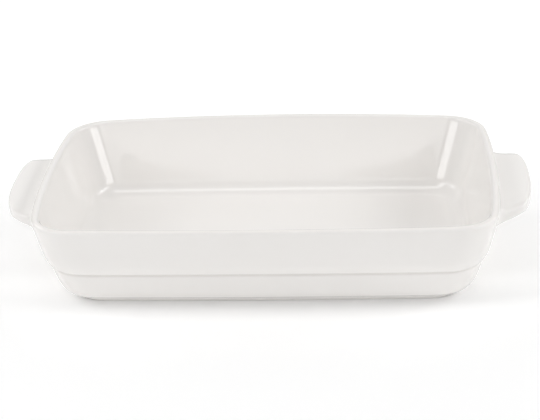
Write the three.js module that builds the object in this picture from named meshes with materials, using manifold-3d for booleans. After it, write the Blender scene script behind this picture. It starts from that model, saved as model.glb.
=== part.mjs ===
// Glazed stoneware baking dish: a rectangular basin with a banded wall, a ground foot ring and two lug handles.
// Millimetres, +Z up, +X along the length. The origin lies on the table, under the middle of the dish.
import * as THREE from "three";
import Module from "manifold-3d";

const { degToRad, clamp, lerp } = THREE.MathUtils;

// Rim, over its outer edge and without the handles. Its sides bow outwards and its ends dip a little.
const RIM_LENGTH = 320;
const RIM_WIDTH = 213;
const RIM_HEIGHT = 63.3;
const RIM_THICKNESS = 4.6;
const RIM_CORNER_RADIUS = 29.7;
const RIM_END_BOW = 3.5;
const RIM_SIDE_BOW = 5.4;
const RIM_END_DIP = 1.6;

// Upper band of the wall: it leans outwards, and its lower edge curls in to a small step.
const BAND_DRAFT = degToRad(16.2);
const BAND_CURL = 1.7;
const BAND_CURL_HEIGHT = 9.8;
const STEP_HEIGHT = 26.9;
const STEP_DEPTH = 0.9;
const STEP_FALL = 0.6;
const STEP_WALL_THICKNESS = 4.2;

// Lower band: it leaves the step at its own draft and sweeps in to the edge of the base.
const LOWER_BAND_INSET = 12;
const LOWER_BAND_DRAFT = degToRad(15);
const LOWER_BAND_STRAIGHT = 10;
const BASE_SWEEP = 7;
const BASE_EDGE_HEIGHT = 1;
const BASE_CORNER_RADIUS = 20;
const BASE_END_BOW = 0.85;
const BASE_SIDE_BOW = 1.3;

// Floor, and the foot ring under it.
const FLOOR_THICKNESS = 4.7;
const FLOOR_FILLET_RADIUS = 10;
const FOOT_HEIGHT = 3.2;
const FOOT_SETBACK = 1.2;
const FOOT_RING_WIDTH = 7.5;
const FOOT_OUTER_ROUND = 1.9;
const FOOT_INNER_ROUND = 0.9;

// Lug handles: a flat tab that tilts up from the wall, with rounded edges and a hollow fillet above and below.
const LUG_REACH = 22.7;
const LUG_DROP = 12.5;
const LUG_TILT = degToRad(15);
const LUG_THICKNESS = 9.2;
const LUG_TIP_TAPER = 0.6;
const LUG_EDGE_RADIUS = 3.3;
const LUG_TOP_FILLET = 8.5;
const LUG_UNDER_FILLET = 5;
const LUG_ROOT_WIDTH = 107;
const LUG_FLANK_WIDTH = 108.5;
const LUG_TIP_WIDTH = 84;
const LUG_ROOT_DEPTH = 13;
const LUG_FLANK_SHARE = 0.92;
const LUG_BITE = 1.2;
const LUG_SEAT_DEPTH = 2;

// Layers: the glaze outside, the biscuit ware under it, and the slip that bonds each handle to the wall.
const GLAZE_THICKNESS = 0.5;
const FIT_GAP = 0.3;
const SLIP_THICKNESS = 1;

// The right lug's turn about the dish's middle, and the left one's.
const LUG_TURNS = { right: 0, left: Math.PI };

// Smoothness of the curves, in straight steps.
const CORNER_STEPS = 6;
const SIDE_STEPS = 4;
const SECTION_STEPS = 3;
const LUG_STEPS = 8;
const LUG_ARC_STEPS = 2;
const SAME_POINT = 1e-6;

const wasm = await Module();
wasm.setup();

const rimRadius = RIM_THICKNESS / 2;
const rimCentre = RIM_HEIGHT - rimRadius;
const floorHeight = FOOT_HEIGHT + FLOOR_THICKNESS;
const baseEdge = FOOT_HEIGHT + BASE_EDGE_HEIGHT;
const creaseHeight = STEP_HEIGHT - STEP_FALL;
const curlHeight = STEP_HEIGHT + BAND_CURL_HEIGHT;
const bandEdgeInset = bandInset(STEP_HEIGHT) + BAND_CURL;
const creaseInset = bandEdgeInset + STEP_DEPTH;
const baseInset = creaseInset + LOWER_BAND_INSET;
const biscuitDepth = GLAZE_THICKNESS + FIT_GAP;

// Inset of the upper band's straight outer face from the rim's outer edge, at a height.
function bandInset(height) {
  const tangentInset = rimRadius * (1 - Math.cos(BAND_DRAFT));
  const tangentHeight = rimCentre - rimRadius * Math.sin(BAND_DRAFT);
  return tangentInset + (tangentHeight - height) * Math.tan(BAND_DRAFT);
}

// The wall's section, inset against height: up the outside, over the rim and down the inside to the floor.
function wallSection() {
  const innerInset = creaseInset + STEP_WALL_THICKNESS;
  const innerDraft = Math.atan2(innerInset - RIM_THICKNESS, rimCentre - creaseHeight);
  const filletHeight = floorHeight + FLOOR_FILLET_RADIUS;
  const innerAtFillet = innerInset + (creaseHeight - filletHeight) * Math.tan(innerDraft);
  const filletInset = innerAtFillet + FLOOR_FILLET_RADIUS / Math.cos(innerDraft);
  const section = new THREE.Path();
  section.moveTo(baseInset, FOOT_HEIGHT);
  section.lineTo(baseInset, baseEdge);
  section.bezierCurveTo(
    baseInset - BASE_SWEEP,
    baseEdge,
    creaseInset + LOWER_BAND_STRAIGHT * Math.tan(LOWER_BAND_DRAFT),
    creaseHeight - LOWER_BAND_STRAIGHT,
    creaseInset,
    creaseHeight,
  );
  section.lineTo(bandEdgeInset, STEP_HEIGHT);
  const curlMiddle = (STEP_HEIGHT + curlHeight) / 2;
  section.quadraticCurveTo(bandInset(curlMiddle), curlMiddle, bandInset(curlHeight), curlHeight);
  section.absarc(rimRadius, rimCentre, rimRadius, Math.PI + BAND_DRAFT, innerDraft, true);
  section.absarc(filletInset, filletHeight, FLOOR_FILLET_RADIUS, Math.PI + innerDraft, 1.5 * Math.PI, false);
  return distinct(section.getPoints(SECTION_STEPS));
}

// A line's points without those that repeat the one before.
function distinct(points) {
  return points.filter((point, i) => i === 0 || point.distanceTo(points[i - 1]) > SAME_POINT);
}

// A section moved sideways by a depth, to the right of its direction of travel.
function shifted(section, depth) {
  const normals = section.slice(1).map((point, i) => {
    const along = point.clone().sub(section[i]).normalize();
    return new THREE.Vector2(along.y, -along.x);
  });
  return section.map((point, i) => {
    const before = normals[Math.max(i - 1, 0)];
    const after = normals[Math.min(i, normals.length - 1)];
    const mitre = before.clone().add(after);
    mitre.multiplyScalar((2 * depth) / mitre.lengthSq());
    return point.clone().add(mitre);
  });
}

// The dish's outline in plan at an inset from the rim's edge and a height: four corner arcs and four bowed sides.
function outline(inset, height) {
  const rise = clamp((height - STEP_HEIGHT) / (RIM_HEIGHT - STEP_HEIGHT), 0, 1);
  const endBow = lerp(BASE_END_BOW, RIM_END_BOW, rise);
  const sideBow = lerp(BASE_SIDE_BOW, RIM_SIDE_BOW, rise);
  const cornerGain = BASE_CORNER_RADIUS + baseInset - RIM_CORNER_RADIUS;
  const radius = RIM_CORNER_RADIUS - inset + cornerGain * (1 - height / RIM_HEIGHT);
  const halfLength = RIM_LENGTH / 2 - inset;
  const halfWidth = RIM_WIDTH / 2 - inset;
  const endLean = Math.atan2(2 * endBow, halfWidth - sideBow - radius);
  const sideLean = Math.atan2(2 * sideBow, halfLength - endBow - radius);
  const centreX = halfLength - endBow - radius * Math.cos(endLean);
  const centreY = halfWidth - sideBow - radius * Math.cos(sideLean);
  const corners = [[1, 1], [-1, 1], [-1, -1], [1, -1]].map(([east, north], i) => {
    const [leanIn, leanOut] = i % 2 === 0 ? [endLean, sideLean] : [sideLean, endLean];
    const start = (i * Math.PI) / 2 + leanIn;
    const end = ((i + 1) * Math.PI) / 2 - leanOut;
    const arc = new THREE.EllipseCurve(east * centreX, north * centreY, radius, radius, start, end);
    return arc.getPoints(CORNER_STEPS);
  });
  const bows = [
    new THREE.Vector2(0, halfWidth + sideBow),
    new THREE.Vector2(-halfLength - endBow, 0),
    new THREE.Vector2(0, -halfWidth - sideBow),
    new THREE.Vector2(halfLength + endBow, 0),
  ];
  const plan = corners.flatMap((corner, i) => {
    const next = corners[(i + 1) % corners.length][0];
    const side = new THREE.QuadraticBezierCurve(corner[CORNER_STEPS], bows[i], next).getPoints(SIDE_STEPS);
    return [...corner, ...side.slice(1, -1)];
  });
  const dip = RIM_END_DIP * rise;
  return plan.map(({ x, y }) => new THREE.Vector3(x, y, height - dip * (x / halfLength) ** 2));
}

// A closed skin over rings of equal point counts. Each ring runs anticlockwise seen from above, and the rings
// are listed up the outside. The two ends are capped, or joined where the rings run round in a loop.
function skin(rings, looped = false) {
  const count = rings[0].length;
  const points = rings.flat();
  const faces = [];
  const bands = looped ? rings.length : rings.length - 1;
  for (let i = 0; i < bands; i += 1) {
    const low = i * count;
    const high = ((i + 1) % rings.length) * count;
    for (let j = 0; j < count; j += 1) {
      const k = (j + 1) % count;
      faces.push(...quad(points, low + j, low + k, high + k, high + j));
    }
  }
  if (!looped) {
    const last = (rings.length - 1) * count;
    for (let j = 0; j < count; j += 1) {
      const k = (j + 1) % count;
      faces.push(points.length, k, j, points.length + 1, last + j, last + k);
    }
    points.push(middle(rings[0]), middle(rings[rings.length - 1]));
  }
  const geometry = new THREE.BufferGeometry().setFromPoints(points);
  geometry.setIndex(faces);
  return geometry;
}

// Two triangles over four corners, split along the shorter diagonal.
function quad(points, a, b, c, d) {
  const splitAC = points[a].distanceTo(points[c]) <= points[b].distanceTo(points[d]);
  return splitAC ? [a, b, c, a, c, d] : [a, b, d, b, c, d];
}

function middle(ring) {
  const box = new THREE.Box3().setFromPoints(ring);
  return box.getCenter(new THREE.Vector3());
}

// The dish's wall and floor, with every glazed face moved inwards by a depth.
function basin(depth) {
  const section = shifted(wallSection(), depth);
  return solid(skin(section.map(({ x, y }) => outline(x, y))));
}

// The dish's outer form without its hollow, moved inwards by a depth, or outwards by a negative one.
function outerForm(depth) {
  const section = shifted(wallSection(), depth);
  const top = section.reduce((best, point, i) => (point.y > section[best].y ? i : best), 0);
  return solid(skin(section.slice(0, top + 1).map(({ x, y }) => outline(x, y))));
}

function footRing() {
  const outer = baseInset + FOOT_SETBACK;
  const inner = outer + FOOT_RING_WIDTH;
  const section = new THREE.Path();
  section.moveTo(inner, FOOT_HEIGHT);
  section.lineTo(inner, FOOT_INNER_ROUND);
  section.quadraticCurveTo(inner, 0, inner - FOOT_INNER_ROUND, 0);
  section.lineTo(outer + FOOT_OUTER_ROUND, 0);
  section.quadraticCurveTo(outer, 0, outer, FOOT_OUTER_ROUND);
  section.lineTo(outer, FOOT_HEIGHT);
  return skin(section.getPoints(SECTION_STEPS).map(({ x, y }) => outline(x, y)), true);
}

// The right lug, buried in the wall at its root, with its faces moved inwards by a depth.
function lug(depth) {
  const rimEnd = RIM_LENGTH / 2;
  const tip = rimEnd + LUG_REACH;
  const top = RIM_HEIGHT - LUG_DROP;
  const bottom = top - LUG_THICKNESS;
  const crest = top + LUG_TOP_FILLET;
  const toe = bottom - LUG_UNDER_FILLET;
  const crestX = rimEnd - bandInset(crest) - LUG_BITE;
  const toeX = rimEnd - bandInset(toe) - LUG_BITE;
  const edgeX = tip - LUG_EDGE_RADIUS;
  const tipBottom = bottom + LUG_TIP_TAPER;
  const tipTop = top - LUG_TIP_TAPER;
  const quarter = Math.PI / 2;
  const section = new THREE.Path();
  section.absarc(toeX + LUG_UNDER_FILLET, toe, LUG_UNDER_FILLET, Math.PI, quarter, true);
  section.absarc(edgeX, tipBottom + LUG_EDGE_RADIUS, LUG_EDGE_RADIUS, -quarter, 0, false);
  section.absarc(edgeX, tipTop - LUG_EDGE_RADIUS, LUG_EDGE_RADIUS, 0, quarter, false);
  section.absarc(crestX + LUG_TOP_FILLET, crest, LUG_TOP_FILLET, -quarter, -Math.PI, true);
  const levels = shifted(distinct(section.getPoints(LUG_ARC_STEPS)), -depth);
  const rings = levels.map(({ x, y }) => {
    const edgeInset = Math.min(tip - depth - x, LUG_EDGE_RADIUS - depth);
    const aboveTip = Math.max(0, y - (tipTop - depth));
    const belowTip = Math.max(0, tipBottom + depth - y);
    return lugOutline(x, depth + edgeInset + aboveTip + belowTip, y);
  });
  return skin(rings);
}

// The lug's outline in plan at a level, from its reach in X and the inset of its flanks. It tilts up to its tip.
function lugOutline(reach, inset, level) {
  const rimEnd = RIM_LENGTH / 2;
  const rootX = rimEnd - LUG_ROOT_DEPTH;
  const flankX = lerp(rootX, reach, LUG_FLANK_SHARE);
  const front = new THREE.CubicBezierCurve(
    new THREE.Vector2(rootX, inset - LUG_ROOT_WIDTH / 2),
    new THREE.Vector2(flankX, inset - LUG_FLANK_WIDTH / 2),
    new THREE.Vector2(reach, inset - LUG_TIP_WIDTH / 2),
    new THREE.Vector2(reach, 0),
  ).getPoints(LUG_STEPS);
  const back = front.slice(0, -1).reverse().map(({ x, y }) => new THREE.Vector2(x, -y));
  const slope = Math.tan(LUG_TILT);
  return [...front, ...back].map(({ x, y }) => new THREE.Vector3(x, y, level + slope * (x - rimEnd)));
}

function solid(geometry) {
  const mesh = new wasm.Mesh({
    numProp: 3,
    vertProperties: new Float32Array(geometry.attributes.position.array),
    triVerts: new Uint32Array(geometry.index.array),
  });
  return new wasm.Manifold(mesh);
}

function geometryOf(manifold) {
  const mesh = manifold.getMesh();
  const geometry = new THREE.BufferGeometry();
  geometry.setAttribute("position", new THREE.BufferAttribute(mesh.vertProperties, 3));
  geometry.setIndex(new THREE.BufferAttribute(mesh.triVerts, 1));
  geometry.computeVertexNormals();
  return geometry;
}

// The glaze: a skin on the dish and both lugs that is open under the base, where the ware is left bare.
function glazeCoat() {
  const [outside, inside] = [0, GLAZE_THICKNESS].map((depth) => {
    const turned = Object.values(LUG_TURNS).map((turn) => solid(lug(depth).rotateZ(turn)));
    const lugs = turned.map((whole) => whole.subtract(outerForm(LUG_SEAT_DEPTH)));
    return lugs.reduce((joined, oneLug) => joined.add(oneLug), basin(depth));
  });
  return outside.subtract(inside);
}

const biscuitLug = solid(lug(biscuitDepth));
const slipOuter = SLIP_THICKNESS / 2;
const handle = biscuitLug.subtract(outerForm(-slipOuter - FIT_GAP));
const slip = biscuitLug.intersect(outerForm(-slipOuter)).subtract(outerForm(biscuitDepth - FIT_GAP));

const glaze = new THREE.MeshStandardMaterial({ color: 0xf0eeea, roughness: 0.08, metalness: 0 });
const biscuit = new THREE.MeshStandardMaterial({ color: 0xe6dfd2, roughness: 0.8, metalness: 0 });
const groundBiscuit = new THREE.MeshStandardMaterial({ color: 0xd9cfbe, roughness: 0.9, metalness: 0 });
const driedSlip = new THREE.MeshStandardMaterial({ color: 0xe2d9c9, roughness: 0.85, metalness: 0 });

function piece(name, geometry, material, turn = 0) {
  const mesh = new THREE.Mesh(geometry, material);
  mesh.name = name;
  mesh.rotation.z = turn;
  return mesh;
}

const bakingDish = new THREE.Group();
bakingDish.name = "baking_dish";
bakingDish.add(piece("stoneware_body", geometryOf(basin(biscuitDepth)), biscuit));
bakingDish.add(piece("foot_ring", footRing(), groundBiscuit));
bakingDish.add(piece("glaze_coat", geometryOf(glazeCoat()), glaze));
for (const [side, turn] of Object.entries(LUG_TURNS)) {
  bakingDish.add(piece(`handle_${side}`, geometryOf(handle), biscuit, turn));
  bakingDish.add(piece(`luting_slip_${side}`, geometryOf(slip), driedSlip, turn));
}

export default bakingDish;
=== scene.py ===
"""Looks of a white glazed baking dish with two lug handles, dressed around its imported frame.

The dish's sizes are in millimetres and the studio's in metres, with +Z up.
"""
import math

import bmesh
import bpy
from mathutils import Matrix, Vector


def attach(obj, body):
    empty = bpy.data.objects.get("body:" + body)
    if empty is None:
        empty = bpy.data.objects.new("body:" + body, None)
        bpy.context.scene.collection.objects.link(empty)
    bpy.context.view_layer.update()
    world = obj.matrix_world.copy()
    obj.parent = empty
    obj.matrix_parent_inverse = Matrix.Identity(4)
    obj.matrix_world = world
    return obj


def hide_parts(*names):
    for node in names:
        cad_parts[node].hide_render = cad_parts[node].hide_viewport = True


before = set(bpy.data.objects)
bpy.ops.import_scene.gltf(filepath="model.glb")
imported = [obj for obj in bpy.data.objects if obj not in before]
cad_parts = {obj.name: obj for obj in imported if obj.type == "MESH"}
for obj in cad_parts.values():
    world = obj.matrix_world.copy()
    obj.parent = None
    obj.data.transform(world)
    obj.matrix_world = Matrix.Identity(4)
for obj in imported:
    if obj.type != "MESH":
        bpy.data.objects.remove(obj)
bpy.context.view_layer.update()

MM = 0.001

# Rim, over its outer edge and without the handles. The gains are its extra width on the inside, the bows
# how far its ends and sides swell out in the middle, and the dip how much lower its ends are.
RIM_LENGTH = 320
RIM_WIDTH = 213
RIM_HEIGHT = 63.3
RIM_THICKNESS = 4.6
RIM_END_GAIN = 1.3
RIM_SIDE_GAIN = 0.4
RIM_CORNER_RADIUS = 29.7
RIM_END_BOW = 3.5
RIM_SIDE_BOW = 5.4
RIM_END_DIP = 1.6

# Upper band of the wall, its curled lower edge, the step under it and the groove in the step's crease.
# The support is the height of a ring just above the step's edge, which keeps the edge crisp.
BAND_DRAFT = math.radians(16.2)
BAND_CURL = 1.7
BAND_CURL_HEIGHT = 9.8
STEP_HEIGHT = 26.9
STEP_DEPTH = 0.9
STEP_FALL = 0.6
STEP_SUPPORT = 0.45
STEP_GROOVE = 0.75
STEP_GROOVE_HEIGHT = 2
STEP_GROOVE_SHARES = (-1.2, 0.3)
STEP_WALL_THICKNESS = 4.2

# Lower band, base and floor.
LOWER_BAND_INSET = 12
LOWER_BAND_DRAFT = math.radians(15)
LOWER_BAND_STRAIGHT = 10
BASE_SWEEP = 7
BASE_EDGE_HEIGHT = 3.4
GLAZE_LINE_HEIGHT = 0.3
GLAZE_LINE_INSET = 1.2
FOOT_CORNER_GAIN = 5
BASE_CORNER_RADIUS = 20
BASE_END_BOW = 0.85
BASE_SIDE_BOW = 1.3
FLOOR_THICKNESS = 4.7
FLOOR_FILLET_RADIUS = 13
FLOOR_CORNER_GAIN = 4.5
FLOOR_RING_SHARES = (0.95, 0.84, 0.66)
INNER_RING_SHARES = (0.04, 0.15, 0.4, 0.7, 0.92)

# Foot ring.
FOOT_HEIGHT = 3.2
FOOT_SETBACK = 2.3
FOOT_RING_WIDTH = 7.5
FOOT_OUTER_ROUND = 1.9
FOOT_INNER_ROUND = 0.9
FOOT_FLAT_SHARES = (0.4, 0.7)

# Lug handles. The top flare is how far the root's top is drawn out and up, the squeeze how much the flank
# thins at the root and at the tip, and the flank path where the flank starts and ends on the plan's curve.
LUG_REACH = 22.7
LUG_DROP = 12.5
LUG_TILT = math.radians(15)
LUG_THICKNESS = 9.2
LUG_HALF_WIDTH = 53.5
LUG_TIP_HALF_WIDTH = 42
LUG_ROOT_DEPTH = 13
LUG_FLANK_SHARE = 0.92
LUG_TOP_FILLET = 8.5
LUG_BITE = 1.2
LUG_TIP_TAPER = 0.6
LUG_TOP_FLARE = (2.4, 3.7)
LUG_FLANK_FLARE = 0.5
LUG_FLANK_MARGIN = 1
LUG_FLANK_SQUEEZE = (0.7, 2.2)
LUG_FLANK_PATH = (0.14, 0.46)
LUG_BULGE_POWER = 3

# Glaze skin, and the steps, rings and columns of the cages that the smooth surfaces are grown from.
GLAZE_THICKNESS = 0.9
LOWER_BAND_STEPS = 7
CURL_STEPS = 4
RIM_STEPS = 8
RIM_CREST_RINGS = (3, 4, 5)
FILLET_STEPS = 6
FOOT_OUTER_STEPS = 4
FOOT_INNER_STEPS = 3
CORNER_COLUMNS = 6
SIDE_SHARES = (0.06, 0.16, 0.32, 0.5, 0.68, 0.84, 0.94)
LUG_COLUMNS = (-LUG_HALF_WIDTH, -48, -32, -16, 0, 16, 32, 48, LUG_HALF_WIDTH)
LUG_STATIONS = (0.32, 0.62, 0.84, 1)
RING_SEAM_TURN = 0.01
SUBDIVISIONS = 2
SMOOTH_ANGLE = math.radians(40)

# The photograph's camera: its place and sensor in millimetres, its aim, its focal length and frame width in
# pixels, and the nearest distance that it shows in metres.
CAMERA_PLACE = (78.7, -1101.2, 528.7)
CAMERA_DOWN = math.radians(24.28)
CAMERA_TURN = math.radians(-4.11)
CAMERA_ROLL = math.radians(-2.33)
CAMERA_FOCAL_PIXELS = 1700
CAMERA_FRAME_PIXELS = 540
CAMERA_SENSOR_WIDTH = 36
CAMERA_CLIP_START = 0.01

# Studio, in metres: the floor, the run over which its glow rises, and how far off the lamps are.
STUDIO_FLOOR_SIZE = 12
PAPER_GLOW_RUN = (-0.1, 0.5)
STRIP_DISTANCE = 1.2
BOX_DISTANCE = 1.4

# Colours, as red, green, blue and alpha, the surround's strength, and the shares and gloss of the finishes.
SURROUND_WHITE = (1, 1, 1, 1)
SURROUND_STRENGTH = 0.22
PAPER_WHITE = (0.97, 0.97, 0.97, 1)
PAPER_GLOW_NEAR = (0.1, 0.1, 0.1, 1)
PAPER_GLOW_FAR = (0.29, 0.29, 0.29, 1)
PAPER_ROUGHNESS = 0.9
GLAZE_WARM = (0.94, 0.917, 0.892, 1)
GLAZE_PALE = (0.955, 0.935, 0.912, 1)
# Painted shade: the grey that darkens the glaze in the step's crease.
GLAZE_CREASE_SHADE = (0.83, 0.805, 0.775, 1)
GLAZE_THINNED = (0.945, 0.905, 0.86, 1)
GLAZE_THINNED_SHARE = 0.35
GLAZE_PEEL_SHARE = 0.04
GLAZE_ROUGHNESS_LOW = 0.015
GLAZE_ROUGHNESS_SPAN = 0.03
GLAZE_IOR = 1.52
GROUND_PALE = (0.72, 0.66, 0.57, 1)
GROUND_DARK = (0.55, 0.48, 0.39, 1)
BISCUIT_PALE = (0.74, 0.69, 0.61, 1)
BISCUIT_DARK = (0.63, 0.57, 0.48, 1)
SLIP_PALE = (0.7, 0.64, 0.55, 1)
SLIP_DARK = (0.6, 0.53, 0.44, 1)
CLAY_SAND_SHARE = 0.7
CLAY_TINT_RUN = (0.35, 0.65)
CLAY_ROUGHNESS_LOW = 0.78
CLAY_ROUGHNESS_SPAN = 0.2

rim_radius = RIM_THICKNESS / 2
rim_centre = RIM_HEIGHT - rim_radius
rim_end = RIM_LENGTH / 2
floor_height = FOOT_HEIGHT + FLOOR_THICKNESS
crease_height = STEP_HEIGHT - STEP_FALL
curl_height = STEP_HEIGHT + BAND_CURL_HEIGHT


def band_inset(height):
    """Inset of the upper band's straight outer face from the rim's outer edge."""
    tangent_inset = rim_radius * (1 - math.cos(BAND_DRAFT))
    tangent_height = rim_centre - rim_radius * math.sin(BAND_DRAFT)
    return tangent_inset + (tangent_height - height) * math.tan(BAND_DRAFT)


band_edge_inset = band_inset(STEP_HEIGHT) + BAND_CURL
crease_inset = band_edge_inset + STEP_DEPTH
base_inset = crease_inset + LOWER_BAND_INSET


def mix(a, b, share):
    """The number at a share of the way from a to b."""
    return a + (b - a) * share


def evenly(steps):
    """Even shares of a run, with both ends."""
    return [i / steps for i in range(steps + 1)]


def bezier(points, shares):
    """Points of a Bezier curve at the given shares of its run."""
    result = []
    for share in shares:
        level = [Vector(point) for point in points]
        while len(level) > 1:
            level = [a.lerp(b, share) for a, b in zip(level, level[1:])]
        result.append(level[0])
    return result


def arc(centre, radius, start, end, steps):
    """Points of an arc, with both ends."""
    angles = [mix(start, end, share) for share in evenly(steps)]
    return [Vector(centre) + radius * Vector((math.cos(a), math.sin(a))) for a in angles]


def lug_level(share, reach):
    """Height of the lug at a share of its thickness, from its underside up, and at a reach along X."""
    out = reach - rim_end
    middle = RIM_HEIGHT - LUG_DROP - LUG_THICKNESS / 2 + math.tan(LUG_TILT) * out
    thickness = LUG_THICKNESS - 2 * LUG_TIP_TAPER * min(max(out / LUG_REACH, 0), 1)
    return middle + thickness * (share - 0.5)


def lug_fillet_rise(reach):
    """How far the fillet at the lug's root lifts its top, at a reach along X."""
    crest = RIM_HEIGHT - LUG_DROP + LUG_TOP_FILLET
    centre = rim_end - band_inset(crest) - LUG_BITE + LUG_TOP_FILLET
    off_centre = min(max(centre - reach, 0), LUG_TOP_FILLET)
    return LUG_TOP_FILLET - math.sqrt(LUG_TOP_FILLET ** 2 - off_centre ** 2)


def lug_root_heights():
    """Heights of the wall's rings at the lug's root: its underside, middle and top."""
    wall = rim_end - band_inset(RIM_HEIGHT - LUG_DROP - LUG_THICKNESS / 2)
    return [lug_level(share, wall) for share in (0, 0.5, 1)]


def outer_section():
    """The outside's section as insets and heights, upwards: lower band, groove and upper band."""
    straight_inset = crease_inset + LOWER_BAND_STRAIGHT * math.tan(LOWER_BAND_DRAFT)
    lower_band = (
        (base_inset, BASE_EDGE_HEIGHT),
        (base_inset - BASE_SWEEP, BASE_EDGE_HEIGHT),
        (straight_inset, crease_height - LOWER_BAND_STRAIGHT),
        (crease_inset, crease_height),
    )
    # At its end a cubic curve runs three times its last leg, which gives the share at the groove's edge.
    groove_share = 1 - STEP_GROOVE_HEIGHT / (3 * LOWER_BAND_STRAIGHT)
    lower = [Vector((base_inset + GLAZE_LINE_INSET, GLAZE_LINE_HEIGHT))]
    lower += bezier(lower_band, evenly(LOWER_BAND_STEPS)[:-1] + [groove_share])
    groove_inset = crease_inset + STEP_GROOVE
    groove = [Vector((groove_inset, crease_height + share * STEP_FALL)) for share in STEP_GROOVE_SHARES]
    curl_middle = (STEP_HEIGHT + curl_height) / 2
    curl = (
        (band_edge_inset, STEP_HEIGHT),
        (band_inset(curl_middle), curl_middle),
        (band_inset(curl_height), curl_height),
    )
    upper = bezier(curl, [0, STEP_SUPPORT / BAND_CURL_HEIGHT] + evenly(CURL_STEPS)[1:])
    lug_rings = lug_root_heights()
    lug_rings.append(lug_rings[-1] + LUG_TOP_FILLET)
    upper += [Vector((band_inset(height), height)) for height in lug_rings]
    return lower, groove, upper


def inner_section():
    """The section of the rim and of the fillet round the floor, as insets and heights, inwards."""
    inner_inset = crease_inset + STEP_WALL_THICKNESS
    inner_draft = math.atan2(inner_inset - RIM_THICKNESS, rim_centre - crease_height)
    fillet_height = floor_height + FLOOR_FILLET_RADIUS
    inner_at_fillet = inner_inset + (crease_height - fillet_height) * math.tan(inner_draft)
    fillet_inset = inner_at_fillet + FLOOR_FILLET_RADIUS / math.cos(inner_draft)
    fillet_centre = (fillet_inset, fillet_height)
    rim = arc((rim_radius, rim_centre), rim_radius, math.pi + BAND_DRAFT, inner_draft, RIM_STEPS)
    fillet = arc(fillet_centre, FLOOR_FILLET_RADIUS, math.pi + inner_draft, 1.5 * math.pi, FILLET_STEPS)
    return rim, fillet


def outline(inset, height, gain=0, corner_gain=0):
    """The dish's outline at an inset and a height, anticlockwise from the back right corner.

    Gain is the share of the rim's extra inner width that is taken off as well.
    Corner gain widens the corners.
    """
    rise = min(max((height - STEP_HEIGHT) / (RIM_HEIGHT - STEP_HEIGHT), 0), 1)
    end_bow = mix(BASE_END_BOW, RIM_END_BOW, rise)
    side_bow = mix(BASE_SIDE_BOW, RIM_SIDE_BOW, rise)
    base_gain = BASE_CORNER_RADIUS + base_inset - RIM_CORNER_RADIUS
    low_gain = base_gain * (1 - height / RIM_HEIGHT)
    radius = RIM_CORNER_RADIUS - inset - RIM_SIDE_GAIN * gain + low_gain + corner_gain
    half_length = rim_end - inset - RIM_END_GAIN * gain
    half_width = RIM_WIDTH / 2 - inset - RIM_SIDE_GAIN * gain
    end_lean = math.atan2(2 * end_bow, half_width - side_bow - radius)
    side_lean = math.atan2(2 * side_bow, half_length - end_bow - radius)
    centre_x = half_length - end_bow - radius * math.cos(end_lean)
    centre_y = half_width - side_bow - radius * math.cos(side_lean)
    # Smoothing draws a cage's corner in, so the cage stands out by as much and the surface lies on the arc.
    step = (math.pi / 2 - end_lean - side_lean) / CORNER_COLUMNS
    cage_radius = radius * 6 / (4 + 2 * math.cos(step))
    corners = []
    for quarter, (east, north) in enumerate(((1, 1), (-1, 1), (-1, -1), (1, -1))):
        lean_in, lean_out = (end_lean, side_lean) if quarter % 2 == 0 else (side_lean, end_lean)
        start = quarter * math.pi / 2 + lean_in
        end = (quarter + 1) * math.pi / 2 - lean_out
        corners.append(arc((east * centre_x, north * centre_y), cage_radius, start, end, CORNER_COLUMNS))
    plan = []
    for quarter, corner in enumerate(corners):
        following = corners[(quarter + 1) % len(corners)][0]
        if quarter % 2 == 0:
            crown = Vector((0, math.copysign(half_width + side_bow, corner[-1].y)))
            shares = SIDE_SHARES
        else:
            crown = Vector((math.copysign(half_length + end_bow, corner[-1].x), 0))
            reach = abs(corner[-1].y)
            shares = [(column / reach + 1) / 2 for column in LUG_COLUMNS]
        plan += corner + bezier((corner[-1], crown, following), shares)
    dip = RIM_END_DIP * rise
    return [Vector((p.x, p.y, height - dip * (p.x / half_length) ** 2)) * MM for p in plan]


def edit(piece):
    """Puts a piece in edit mode alone, with all of its mesh selected."""
    bpy.ops.object.select_all(action="DESELECT")
    piece.select_set(True)
    bpy.context.view_layer.objects.active = piece
    bpy.ops.object.mode_set(mode="EDIT")
    bpy.ops.mesh.select_all(action="SELECT")


def selected_vertices(piece):
    return [v for v in bmesh.from_edit_mesh(piece.data).verts if v.select]


def place_ring(piece, points):
    """Moves the selected ring's vertices, in their order round the dish, to an outline's points.

    The order starts a hair off the X axis, so that no vertex lies where it starts.
    """
    def turn(point):
        return math.atan2(point.x * math.sin(RING_SEAM_TURN) + point.y * math.cos(RING_SEAM_TURN), point.x)
    ring = sorted(selected_vertices(piece), key=lambda v: turn(v.co))
    for vertex, point in zip(ring, sorted(points, key=turn)):
        vertex.co = point
    bmesh.update_edit_mesh(piece.data)


def start_ring(name, points):
    """A new piece from a circle of vertices laid on an outline."""
    bpy.ops.object.select_all(action="DESELECT")
    bpy.ops.mesh.primitive_circle_add(vertices=len(points), radius=rim_end * MM, fill_type="NOTHING")
    piece = bpy.context.object
    piece.name = name
    piece.data.name = name
    edit(piece)
    place_ring(piece, points)
    return piece


def extrude_rings(piece, rings):
    """Extrudes the selected ring of edges along a run of outlines."""
    for points in rings:
        bpy.ops.mesh.extrude_edges_move()
        place_ring(piece, points)


def mark_rings(piece, name, columns, rings):
    """Writes an attribute that is 1 on some of the rings and 0 elsewhere."""
    cage = bmesh.from_edit_mesh(piece.data)
    layer = cage.verts.layers.float.new(name)
    for vertex in cage.verts:
        vertex[layer] = vertex.index // columns in rings
    bmesh.update_edit_mesh(piece.data)


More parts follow.
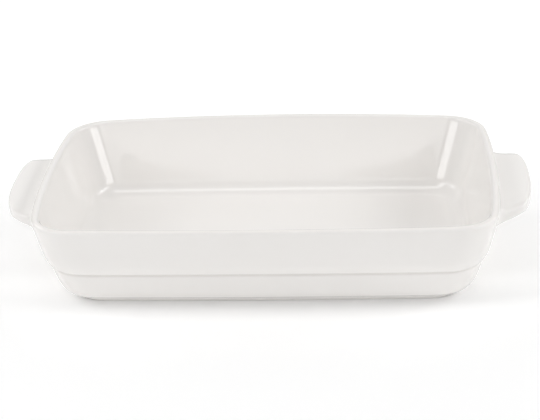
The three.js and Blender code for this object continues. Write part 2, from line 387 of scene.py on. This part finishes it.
def fill_floor(skin):
    """Closes the middle of the floor with a grid of faces."""
    bpy.ops.mesh.select_all(action="DESELECT")
    bpy.ops.mesh.select_non_manifold(extend=False)
    floor_edge = [v for v in selected_vertices(skin) if v.co.z > FOOT_HEIGHT * MM]
    bpy.ops.mesh.select_all(action="DESELECT")
    for vertex in floor_edge:
        vertex.select_set(True)
    bmesh.from_edit_mesh(skin.data).select_flush_mode()
    bpy.ops.mesh.fill_grid()


def lug_plan(station, column):
    """Plan of the right lug's cage: a point at a station from root to tip and a column across it."""
    root_x = rim_end - LUG_ROOT_DEPTH
    tip = rim_end + LUG_REACH
    path = (
        (root_x, LUG_HALF_WIDTH),
        (mix(root_x, tip, LUG_FLANK_SHARE), LUG_HALF_WIDTH),
        (tip, LUG_TIP_HALF_WIDTH),
        (tip, 0),
    )
    across = abs(column) / LUG_HALF_WIDTH
    wall = rim_end - band_inset(RIM_HEIGHT - LUG_DROP)
    flank_start, flank_end = LUG_FLANK_PATH
    shares = (mix(1, flank_end, across), flank_end, mix(flank_start, flank_end, station))
    end, corner, flank = bezier(path, shares)
    straight = Vector((wall, abs(column))).lerp(end, station)
    bulge = flank - Vector((wall, LUG_HALF_WIDTH)).lerp(corner, station)
    point = straight + bulge * across ** LUG_BULGE_POWER
    return Vector((point.x, math.copysign(point.y, column)))


def select_lug_root(piece, side):
    """Selects the end wall's faces that a lug grows from. Side is 1 on the right and -1 on the left."""
    low, _, high = lug_root_heights()
    outer_wall = rim_end - band_inset((low + high) / 2) - rim_radius
    bpy.ops.mesh.select_all(action="DESELECT")
    bpy.ops.mesh.select_mode(type="FACE")
    for face in bmesh.from_edit_mesh(piece.data).faces:
        centre = face.calc_center_median() / MM
        on_end = centre.x * side > outer_wall and abs(centre.y) < LUG_HALF_WIDTH
        face.select_set(on_end and low - RIM_END_DIP < centre.z < high)


def flare_lug_root(piece, side):
    """Draws the selected root out and up along its top, and outwards along its flanks."""
    top = lug_root_heights()[-1]
    for vertex in selected_vertices(piece):
        out, lift = LUG_TOP_FLARE if vertex.co.z / MM > top - RIM_END_DIP else (0, 0)
        at_flank = abs(vertex.co.y) / MM > LUG_HALF_WIDTH - LUG_FLANK_MARGIN
        out = max(out, LUG_FLANK_FLARE * at_flank)
        spread = math.copysign(LUG_FLANK_FLARE * at_flank, vertex.co.y)
        vertex.co += Vector((side * out, spread, lift)) * MM


def pull_lug(piece, side):
    """Extrudes a lug from the end wall, station by station from root to tip."""
    select_lug_root(piece, side)
    flare_lug_root(piece, side)
    for station in LUG_STATIONS:
        bpy.ops.mesh.extrude_region_move()
        vertices = sorted(selected_vertices(piece), key=lambda v: v.co.y * side)
        levels = len(vertices) // len(LUG_COLUMNS)
        for k, column in enumerate(LUG_COLUMNS):
            plan = lug_plan(station, column)
            squeeze = mix(*LUG_FLANK_SQUEEZE, station) if abs(column) == LUG_HALF_WIDTH else 0
            stack = sorted(vertices[k * levels:(k + 1) * levels], key=lambda v: v.co.z)
            for level, vertex in enumerate(stack):
                share = level / (levels - 1)
                height = lug_level(share, plan.x) + squeeze * (1 - 2 * share)
                height += lug_fillet_rise(plan.x) * (level == levels - 1)
                vertex.co = Vector((side * plan.x, side * plan.y, height)) * MM
        bmesh.update_edit_mesh(piece.data)
    bpy.ops.mesh.select_mode(type="VERT")


def add_modifier(piece, kind, **settings):
    """Adds a modifier with its settings and applies it."""
    modifier = piece.modifiers.new(kind.title(), kind)
    for key, value in settings.items():
        setattr(modifier, key, value)
    bpy.ops.object.modifier_apply(modifier=modifier.name)


def grow_surface(piece):
    """Recalculates the cage's faces outwards and grows the smooth surface from it."""
    bpy.ops.mesh.select_all(action="SELECT")
    bpy.ops.mesh.normals_make_consistent(inside=False)
    bpy.ops.object.mode_set(mode="OBJECT")
    add_modifier(piece, "SUBSURF", levels=SUBDIVISIONS, render_levels=SUBDIVISIONS)


def make_glaze_skin():
    """The glaze over the dish and both lugs: one skin from the base's edge over the rim to the floor."""
    lower, groove, upper = outer_section()
    rim, fillet = inner_section()
    outside = [outline(lower[0].x, lower[0].y, corner_gain=FOOT_CORNER_GAIN)]
    outside += [outline(point.x, point.y) for point in lower[1:] + groove + upper]
    crest = [outline(point.x, point.y, gain=max(point.x / rim_radius - 1, 0)) for point in rim]
    curve = [outline(point.x, point.y, corner_gain=FLOOR_CORNER_GAIN) for point in fillet]
    ends = list(zip(crest[-1], curve[0]))
    inside = [[top.lerp(bottom, share) for top, bottom in ends] for share in INNER_RING_SHARES]
    floor = [[Vector((p.x * share, p.y * share, p.z)) for p in curve[-1]] for share in FLOOR_RING_SHARES]
    skin = start_ring("glaze_skin", outside[0])
    extrude_rings(skin, outside[1:] + crest + inside + curve + floor)
    columns = len(outside[0])
    # The groove's rings carry the mask of the painted shade in the step's crease.
    mark_rings(skin, "crease_shade", columns, range(len(lower), len(lower + groove)))
    mark_rings(skin, "thinned", columns, [len(outside) + ring for ring in RIM_CREST_RINGS])
    fill_floor(skin)
    for side in (1, -1):
        pull_lug(skin, side)
    grow_surface(skin)
    add_modifier(skin, "SOLIDIFY", thickness=GLAZE_THICKNESS * MM, offset=-1, use_even_offset=True)
    bpy.ops.object.shade_smooth_by_angle(angle=SMOOTH_ANGLE)
    return skin


def make_foot():
    """The bare ring that the dish stands on: flat underneath and rounded at its edges."""
    outer = base_inset + FOOT_SETBACK
    inner = outer + FOOT_RING_WIDTH
    outer_round = ((outer, FOOT_OUTER_ROUND), (outer, 0), (outer + FOOT_OUTER_ROUND, 0))
    inner_round = ((inner - FOOT_INNER_ROUND, 0), (inner, 0), (inner, FOOT_INNER_ROUND))
    section = [Vector((outer, FOOT_HEIGHT)), Vector((outer, (FOOT_OUTER_ROUND + FOOT_HEIGHT) / 2))]
    section += bezier(outer_round, evenly(FOOT_OUTER_STEPS))
    section += [Vector((mix(outer, inner, share), 0)) for share in FOOT_FLAT_SHARES]
    section += bezier(inner_round, evenly(FOOT_INNER_STEPS))
    section += [Vector((inner, FOOT_HEIGHT))]
    rings = [outline(point.x, point.y, corner_gain=FOOT_CORNER_GAIN) for point in section]
    foot = start_ring("ground_foot", rings[0])
    extrude_rings(foot, rings[1:])
    bpy.ops.mesh.select_all(action="DESELECT")
    bpy.ops.mesh.select_non_manifold(extend=False)
    bpy.ops.mesh.bridge_edge_loops()
    grow_surface(foot)
    bpy.ops.object.shade_smooth_by_angle(angle=SMOOTH_ANGLE)
    return foot


class Value:
    """A shader socket that Python arithmetic works on."""

    def __init__(self, finish, socket):
        self.finish = finish
        self.socket = socket

    def __add__(self, other):
        return self.finish.math("ADD", self, other)

    def __radd__(self, other):
        return self.finish.math("ADD", other, self)

    def __mul__(self, other):
        return self.finish.math("MULTIPLY", self, other)

    def __rmul__(self, other):
        return self.finish.math("MULTIPLY", other, self)


class Finish:
    """A procedural material, built node by node."""

    def __init__(self, name):
        self.material = bpy.data.materials.new(name)
        self.material.use_nodes = True
        self.tree = self.material.node_tree
        self.shader = self.tree.nodes["Principled BSDF"]

    def node(self, kind, settings=None, output=0, **sockets):
        """Adds a node, sets it up, fills its sockets with values or links, and gives one of its outputs.

        A socket goes by its name, with _ for a space, or by its number, as in i0.
        """
        made = self.tree.nodes.new(kind)
        for key, value in (settings or {}).items():
            setattr(made, key, value)
        for key, value in sockets.items():
            self.feed(made.inputs[int(key[1:]) if key[1:].isdigit() else key.replace("_", " ")], value)
        return Value(self, made.outputs[output])

    def feed(self, socket, value):
        """Links a shader value to a socket, or sets the socket to a plain one."""
        if isinstance(value, Value):
            self.tree.links.new(value.socket, socket)
        else:
            socket.default_value = value

    def math(self, operation, a, b):
        return self.node("ShaderNodeMath", {"operation": operation}, i0=a, i1=b)

    def place(self):
        return self.node("ShaderNodeTexCoord", output="Object")

    def noise(self, scale, detail, roughness=0.5):
        sockets = {"Scale": scale, "Detail": detail, "Roughness": roughness}
        return self.node("ShaderNodeTexNoise", Vector=self.place(), **sockets)

    def ramp(self, value, low, high):
        """Rises from 0 to 1 as a value goes from low to high."""
        settings = {"interpolation_type": "SMOOTHSTEP"}
        return self.node("ShaderNodeMapRange", settings, Value=value, From_Min=low, From_Max=high)

    def tint(self, share, a, b):
        """A colour between two, by a share."""
        return self.node("ShaderNodeMix", {"data_type": "RGBA"}, output=2, i0=share, i6=a, i7=b)

    def mark(self, name):
        return self.node("ShaderNodeAttribute", {"attribute_name": name}, output="Fac")

    def bump(self, height, strength, distance):
        return self.node("ShaderNodeBump", Height=height, Strength=strength, Distance=distance)

    def set(self, **sockets):
        """Fills the shader's own sockets and gives the material."""
        for key, value in sockets.items():
            self.feed(self.shader.inputs[key.replace("_", " ")], value)
        return self.material


def glaze_finish():
    """Glossy glaze: a slightly warm white with a faint ripple.

    It has painted shade in the step's crease, a greyer tint there, and is warmer where it thins on the
    rim's crest.
    """
    finish = Finish("white_glaze")
    cloud = finish.noise(scale=14, detail=3)
    ripple = finish.noise(scale=60, detail=1)
    peel = finish.noise(scale=420, detail=2)
    haze = finish.noise(scale=45, detail=2)
    colour = finish.tint(cloud, GLAZE_WARM, GLAZE_PALE)
    # Painted shade: the glaze greys towards a darker tint in the step's crease.
    colour = finish.tint(finish.mark("crease_shade"), colour, GLAZE_CREASE_SHADE)
    colour = finish.tint(finish.mark("thinned") * GLAZE_THINNED_SHARE, colour, GLAZE_THINNED)
    roughness = GLAZE_ROUGHNESS_LOW + haze * GLAZE_ROUGHNESS_SPAN
    normal = finish.bump(ripple + peel * GLAZE_PEEL_SHARE, strength=0.04, distance=0.0005)
    return finish.set(Base_Color=colour, Roughness=roughness, Normal=normal, IOR=GLAZE_IOR)


def clay_finish(name, pale, dark, grain):
    """Bare fired clay: matt and sandy."""
    finish = Finish(name)
    sand = finish.noise(scale=grain, detail=4, roughness=0.7)
    cloud = finish.noise(scale=20, detail=3)
    speckle = sand * CLAY_SAND_SHARE + cloud * (1 - CLAY_SAND_SHARE)
    colour = finish.tint(finish.ramp(speckle, *CLAY_TINT_RUN), dark, pale)
    roughness = CLAY_ROUGHNESS_LOW + sand * CLAY_ROUGHNESS_SPAN
    normal = finish.bump(sand, strength=0.35, distance=0.0004)
    return finish.set(Base_Color=colour, Roughness=roughness, Normal=normal)


def paper_finish():
    """White paper that glows softly behind the dish, as a lit backdrop does."""
    finish = Finish("pale_paper")
    behind = finish.node("ShaderNodeSeparateXYZ", output="Y", Vector=finish.place())
    glow = finish.tint(finish.ramp(behind, *PAPER_GLOW_RUN), PAPER_GLOW_NEAR, PAPER_GLOW_FAR)
    finish.set(Base_Color=PAPER_WHITE, Roughness=PAPER_ROUGHNESS)
    return finish.set(Emission_Color=glow, Emission_Strength=1)


def dress(piece, material):
    piece.data.materials.clear()
    piece.data.materials.append(material)


def make_camera():
    """The photograph's view."""
    level = math.cos(CAMERA_DOWN)
    right = Vector((math.cos(CAMERA_TURN), -math.sin(CAMERA_TURN), 0))
    ahead = Vector((math.sin(CAMERA_TURN) * level, math.cos(CAMERA_TURN) * level, -math.sin(CAMERA_DOWN)))
    up = right.cross(ahead)
    axis_x = right * math.cos(CAMERA_ROLL) + up * math.sin(CAMERA_ROLL)
    axis_y = up * math.cos(CAMERA_ROLL) - right * math.sin(CAMERA_ROLL)
    data = bpy.data.cameras.new("camera")
    data.sensor_fit = "HORIZONTAL"
    data.sensor_width = CAMERA_SENSOR_WIDTH
    data.lens = CAMERA_FOCAL_PIXELS * CAMERA_SENSOR_WIDTH / CAMERA_FRAME_PIXELS
    data.clip_start = CAMERA_CLIP_START
    camera = bpy.data.objects.new("camera", data)
    aim = Matrix((axis_x, axis_y, -ahead)).transposed().to_4x4()
    camera.matrix_world = Matrix.Translation(Vector(CAMERA_PLACE) * MM) @ aim
    bpy.context.scene.collection.objects.link(camera)
    bpy.context.scene.camera = camera


def softbox(name, turn, lift, distance, size, radiance):
    """An area light of a width and height that faces the dish.

    Its turn is in degrees to the right of the front, and its lift in degrees above the floor.
    """
    turn, lift = math.radians(turn), math.radians(lift)
    away = Vector((math.sin(turn) * math.cos(lift), -math.cos(turn) * math.cos(lift), math.sin(lift)))
    width, height = size
    data = bpy.data.lights.new(name, "AREA")
    data.shape = "RECTANGLE"
    data.size, data.size_y = width, height
    data.energy = radiance * math.pi * width * height
    lamp = bpy.data.objects.new(name, data)
    lamp.location = away * distance
    lamp.rotation_euler = away.to_track_quat("Z", "Y").to_euler()
    bpy.context.scene.collection.objects.link(lamp)


def hang_lamps():
    """Two narrow strips that the inner back corners mirror, and broad boxes all round."""
    softbox("left_strip", turn=-36, lift=16.4, distance=STRIP_DISTANCE, size=(0.6, 0.12), radiance=4)
    softbox("right_strip", turn=52, lift=18.9, distance=STRIP_DISTANCE, size=(0.6, 0.1), radiance=4.2)
    softbox("front_panel", turn=8, lift=18.5, distance=BOX_DISTANCE, size=(1, 0.37), radiance=1.15)
    softbox("front_left_box", turn=-61, lift=50, distance=BOX_DISTANCE, size=(0.34, 0.64), radiance=3.8)
    softbox("front_top_box", turn=0, lift=80, distance=BOX_DISTANCE, size=(1.4, 0.45), radiance=2.7)
    softbox("left_box", turn=-86, lift=34, distance=BOX_DISTANCE, size=(0.9, 0.36), radiance=1.9)
    softbox("right_box", turn=86, lift=34, distance=BOX_DISTANCE, size=(0.9, 0.36), radiance=3.7)
    softbox("back_left_box", turn=-115, lift=28, distance=BOX_DISTANCE, size=(0.8, 0.36), radiance=2.6)
    softbox("back_right_box", turn=115, lift=28, distance=BOX_DISTANCE, size=(0.8, 0.36), radiance=2.8)
    softbox("back_box", turn=180, lift=27, distance=BOX_DISTANCE, size=(1.8, 0.7), radiance=0.6)


def make_studio():
    """A pale floor, an even pale surround and soft lamps."""
    bpy.ops.object.select_all(action="DESELECT")
    bpy.ops.mesh.primitive_plane_add(size=STUDIO_FLOOR_SIZE)
    floor = bpy.context.object
    floor.name = "floor"
    dress(floor, paper_finish())
    world = bpy.data.worlds.new("surround")
    world.use_nodes = True
    background = world.node_tree.nodes["Background"]
    background.inputs["Color"].default_value = SURROUND_WHITE
    background.inputs["Strength"].default_value = SURROUND_STRENGTH
    bpy.context.scene.world = world
    hang_lamps()
    bpy.context.scene.view_settings.view_transform = "Standard"


make_camera()
make_studio()

skin = make_glaze_skin()
dress(skin, glaze_finish())
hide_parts("glaze_coat")
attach(skin, "root")

foot = make_foot()
dress(foot, clay_finish("ground_clay", pale=GROUND_PALE, dark=GROUND_DARK, grain=900))
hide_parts("foot_ring")
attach(foot, "root")

biscuit = clay_finish("bare_biscuit", pale=BISCUIT_PALE, dark=BISCUIT_DARK, grain=500)
slip = clay_finish("fired_slip", pale=SLIP_PALE, dark=SLIP_DARK, grain=700)
for name in ("stoneware_body", "handle_right", "handle_left"):
    dress(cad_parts[name], biscuit)
for name in ("luting_slip_right", "luting_slip_left"):
    dress(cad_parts[name], slip)
